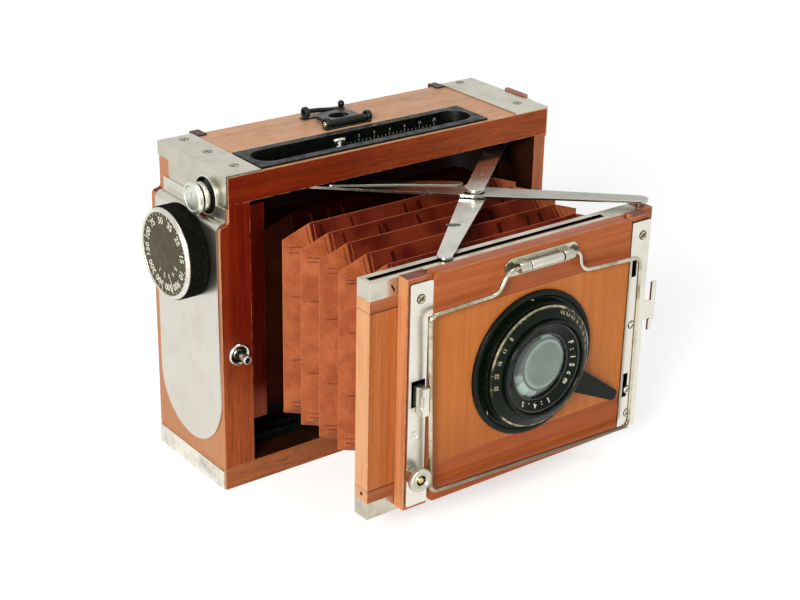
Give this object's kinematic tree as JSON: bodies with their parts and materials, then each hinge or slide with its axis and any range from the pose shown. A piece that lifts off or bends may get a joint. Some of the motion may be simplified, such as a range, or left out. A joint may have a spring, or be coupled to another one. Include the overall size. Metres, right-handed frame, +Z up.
{
  "type": "folding plate camera",
  "caption": "Wooden folding plate camera with crossed nickel struts, red-brown leather bellows, a barrel lens on a rising board and a speed dial on its side.",
  "frame": {"origin": "mouth of the tripod socket, in the middle of the base", "axes": "+X to the right of a viewer facing the lens, -Y the way the lens looks, +Z up"},
  "size_m": [0.1868, 0.1596, 0.1426],
  "materials": {
    "wood": "varnished",
    "wood_light": "varnished",
    "nickel": "satin",
    "light_alloy": "satin",
    "black_alloy": "satin enamel",
    "black_enamel": "gloss enamel",
    "brass": "turned",
    "black_wood": "stained",
    "black_cloth": "rubbered",
    "leather": "fine grain",
    "dark_leather": "waxed",
    "glass": "coated",
    "frosted_glass": "frosted"
  },
  "bodies": {
    "root": {"top_board": "wood", "bottom_board": "wood", "left_end_board": "wood", "right_end_board": "wood", "upper_corner_plates": "nickel", "lower_corner_plates": "nickel", "corner_screws": "nickel", "cover_plate": "nickel", "focus_scale_tray": "black_enamel", "bellows_frame": "wood", "shutter_guides": "black_enamel", "shutter_curtain": "black_cloth", "upper_strut_track": "nickel", "lower_strut_track": "nickel", "release_escutcheon": "nickel", "tripod_bush": "brass", "sight_base": "black_enamel", "handle_strap": "dark_leather", "handle_lugs": "nickel", "back_frame": "wood", "ground_glass": "frosted_glass", "back_catches": "black_enamel", "bellows": "leather"},
    "upper_rear_strut": {"upper_rear_strut": "nickel"},
    "upper_front_strut": {"upper_front_strut": "nickel"},
    "index": {"index_slider": "brass"},
    "standard": {"standard_frame": "wood_light", "top_rail": "light_alloy", "bottom_rail": "light_alloy"},
    "lower_rear_strut": {"lower_rear_strut": "nickel"},
    "lower_front_strut": {"lower_front_strut": "nickel"},
    "panel": {"cross_slide_plate": "black_alloy", "left_stile": "wood", "right_stile": "wood", "left_strip": "nickel", "right_strip": "nickel", "strip_screws": "nickel"},
    "lens_board": {"lens_board": "wood_light", "finder_hinge": "nickel", "lens_flange": "black_alloy", "flange_screws": "nickel"},
    "focus_ring": {"focus_ring": "black_alloy"},
    "lens_cell": {"lens_barrel": "black_alloy", "front_bezel": "black_alloy", "front_glass": "glass", "rear_glass": "glass", "iris_blades": "black_alloy"},
    "aperture_ring": {"aperture_ring": "black_alloy"},
    "wire_finder": {"wire_finder": "nickel"},
    "lock_knob": {"lock_knob": "nickel"},
    "finder_catch": {"finder_catch": "nickel"},
    "dial": {"speed_dial": "black_alloy", "dial_arbor": "brass"},
    "winding_roller": {"winding_roller": "black_wood", "roller_pinion": "brass"},
    "spring_roller": {"spring_roller": "black_wood"},
    "tension_knob": {"tension_knob": "nickel"},
    "release": {"release_plunger": "nickel"},
    "sight": {"sight_leaf": "black_enamel"},
    "back_lid": {"back_lid": "black_enamel"}
  },
  "joints": [
    {"name": "front_fold", "type": "hinge", "parent": "root", "child": "upper_rear_strut", "pos_m": [0.0676, -0.0126, 0.1203], "axis": [0, 0, -1], "range_deg": [0, 39.74], "deforming": ["bellows"]},
    {"name": "upper_cross", "type": "hinge", "parent": "upper_rear_strut", "child": "upper_front_strut", "pos_m": [0.01707, -0.0569, 0.1203], "axis": [0, 0, 1], "range_deg": [0, 79.48]},
    {"name": "standard_pivot", "type": "hinge", "parent": "upper_front_strut", "child": "standard", "pos_m": [0.0676, -0.1012, 0.1203], "axis": [0, 0, -1], "range_deg": [0, 39.74]},
    {"name": "index_pivot", "type": "hinge", "parent": "upper_front_strut", "child": "index", "pos_m": [-0.03346, -0.0126, 0.1244], "axis": [0, 0, -1], "range_deg": [0, 39.74]},
    {"name": "lower_fold", "type": "hinge", "parent": "root", "child": "lower_rear_strut", "pos_m": [0.0676, -0.0126, 0.0168], "axis": [0, 0, -1], "range_deg": [0, 39.74]},
    {"name": "lower_cross", "type": "hinge", "parent": "lower_rear_strut", "child": "lower_front_strut", "pos_m": [0.01707, -0.0569, 0.0168], "axis": [0, 0, 1], "range_deg": [0, 79.48]},
    {"name": "cross_slide", "type": "slide", "parent": "standard", "child": "panel", "axis": [1, 0, 0], "range_m": [-0.008, 0.004]},
    {"name": "rising_front", "type": "slide", "parent": "panel", "child": "lens_board", "axis": [0, 0, 1], "range_m": [0, 0.005]},
    {"name": "lens_focus", "type": "slide", "parent": "lens_board", "child": "lens_cell", "axis": [0, -1, 0], "range_m": [0, 0.0025]},
    {"name": "focus_lever", "type": "hinge", "parent": "lens_board", "child": "focus_ring", "pos_m": [0.003, -0.1152, 0.0693], "axis": [0, -1, 0], "range_deg": [0, 45]},
    {"name": "aperture_turn", "type": "hinge", "parent": "lens_cell", "child": "aperture_ring", "pos_m": [0.003, -0.118, 0.0693], "axis": [0, -1, 0], "range_deg": [0, 120]},
    {"name": "finder_swing", "type": "hinge", "parent": "lens_board", "child": "wire_finder", "pos_m": [0.0049, -0.1152, 0.1127], "axis": [-1, 0, 0], "range_deg": [0, 180]},
    {"name": "lock_turn", "type": "hinge", "parent": "panel", "child": "lock_knob", "pos_m": [-0.0548, -0.116, 0.0373], "axis": [0, -1, 0], "range_deg": [0, 90]},
    {"name": "catch_slide", "type": "slide", "parent": "panel", "child": "finder_catch", "axis": [-1, 0, 0], "range_m": [0, 0.0012]},
    {"name": "dial_turn", "type": "hinge", "parent": "root", "child": "dial", "pos_m": [-0.092, -0.0019, 0.1006], "axis": [-1, 0, 0], "continuous": true},
    {"name": "winding_turn", "type": "hinge", "parent": "root", "child": "winding_roller", "pos_m": [0, 0.01381, 0.116], "axis": [-1, 0, 0], "continuous": true},
    {"name": "spring_turn", "type": "hinge", "parent": "root", "child": "spring_roller", "pos_m": [0, 0.01381, 0.021], "axis": [-1, 0, 0], "continuous": true},
    {"name": "tension_turn", "type": "hinge", "parent": "root", "child": "tension_knob", "pos_m": [-0.086, -0.0108, 0.1253], "axis": [-1, 0, 0], "range_deg": [0, 180]},
    {"name": "release_press", "type": "slide", "parent": "root", "child": "release", "axis": [0, 1, 0], "range_m": [0, 0.003], "stiffness_N_per_m": 300},
    {"name": "sight_fold", "type": "hinge", "parent": "root", "child": "sight", "pos_m": [-0.005, 0.002, 0.1393], "axis": [1, 0, 0], "range_deg": [0, 90]},
    {"name": "lid_open", "type": "hinge", "parent": "root", "child": "back_lid", "pos_m": [0, 0.0361, 0.0135], "axis": [-1, 0, 0], "range_deg": [0, 90]}
  ],
  "couplings": [
    {"joint": "upper_cross", "follows": "front_fold", "ratio": 2},
    {"joint": "standard_pivot", "follows": "front_fold", "ratio": 1},
    {"joint": "index_pivot", "follows": "front_fold", "ratio": 1},
    {"joint": "lower_fold", "follows": "front_fold", "ratio": 1},
    {"joint": "lower_cross", "follows": "front_fold", "ratio": 2},
    {"joint": "focus_lever", "follows": "lens_focus", "rad_per_m": 314.16},
    {"joint": "winding_turn", "follows": "dial_turn", "ratio": -2.1429},
    {"joint": "spring_turn", "follows": "dial_turn", "ratio": -2.1429}
  ]
}
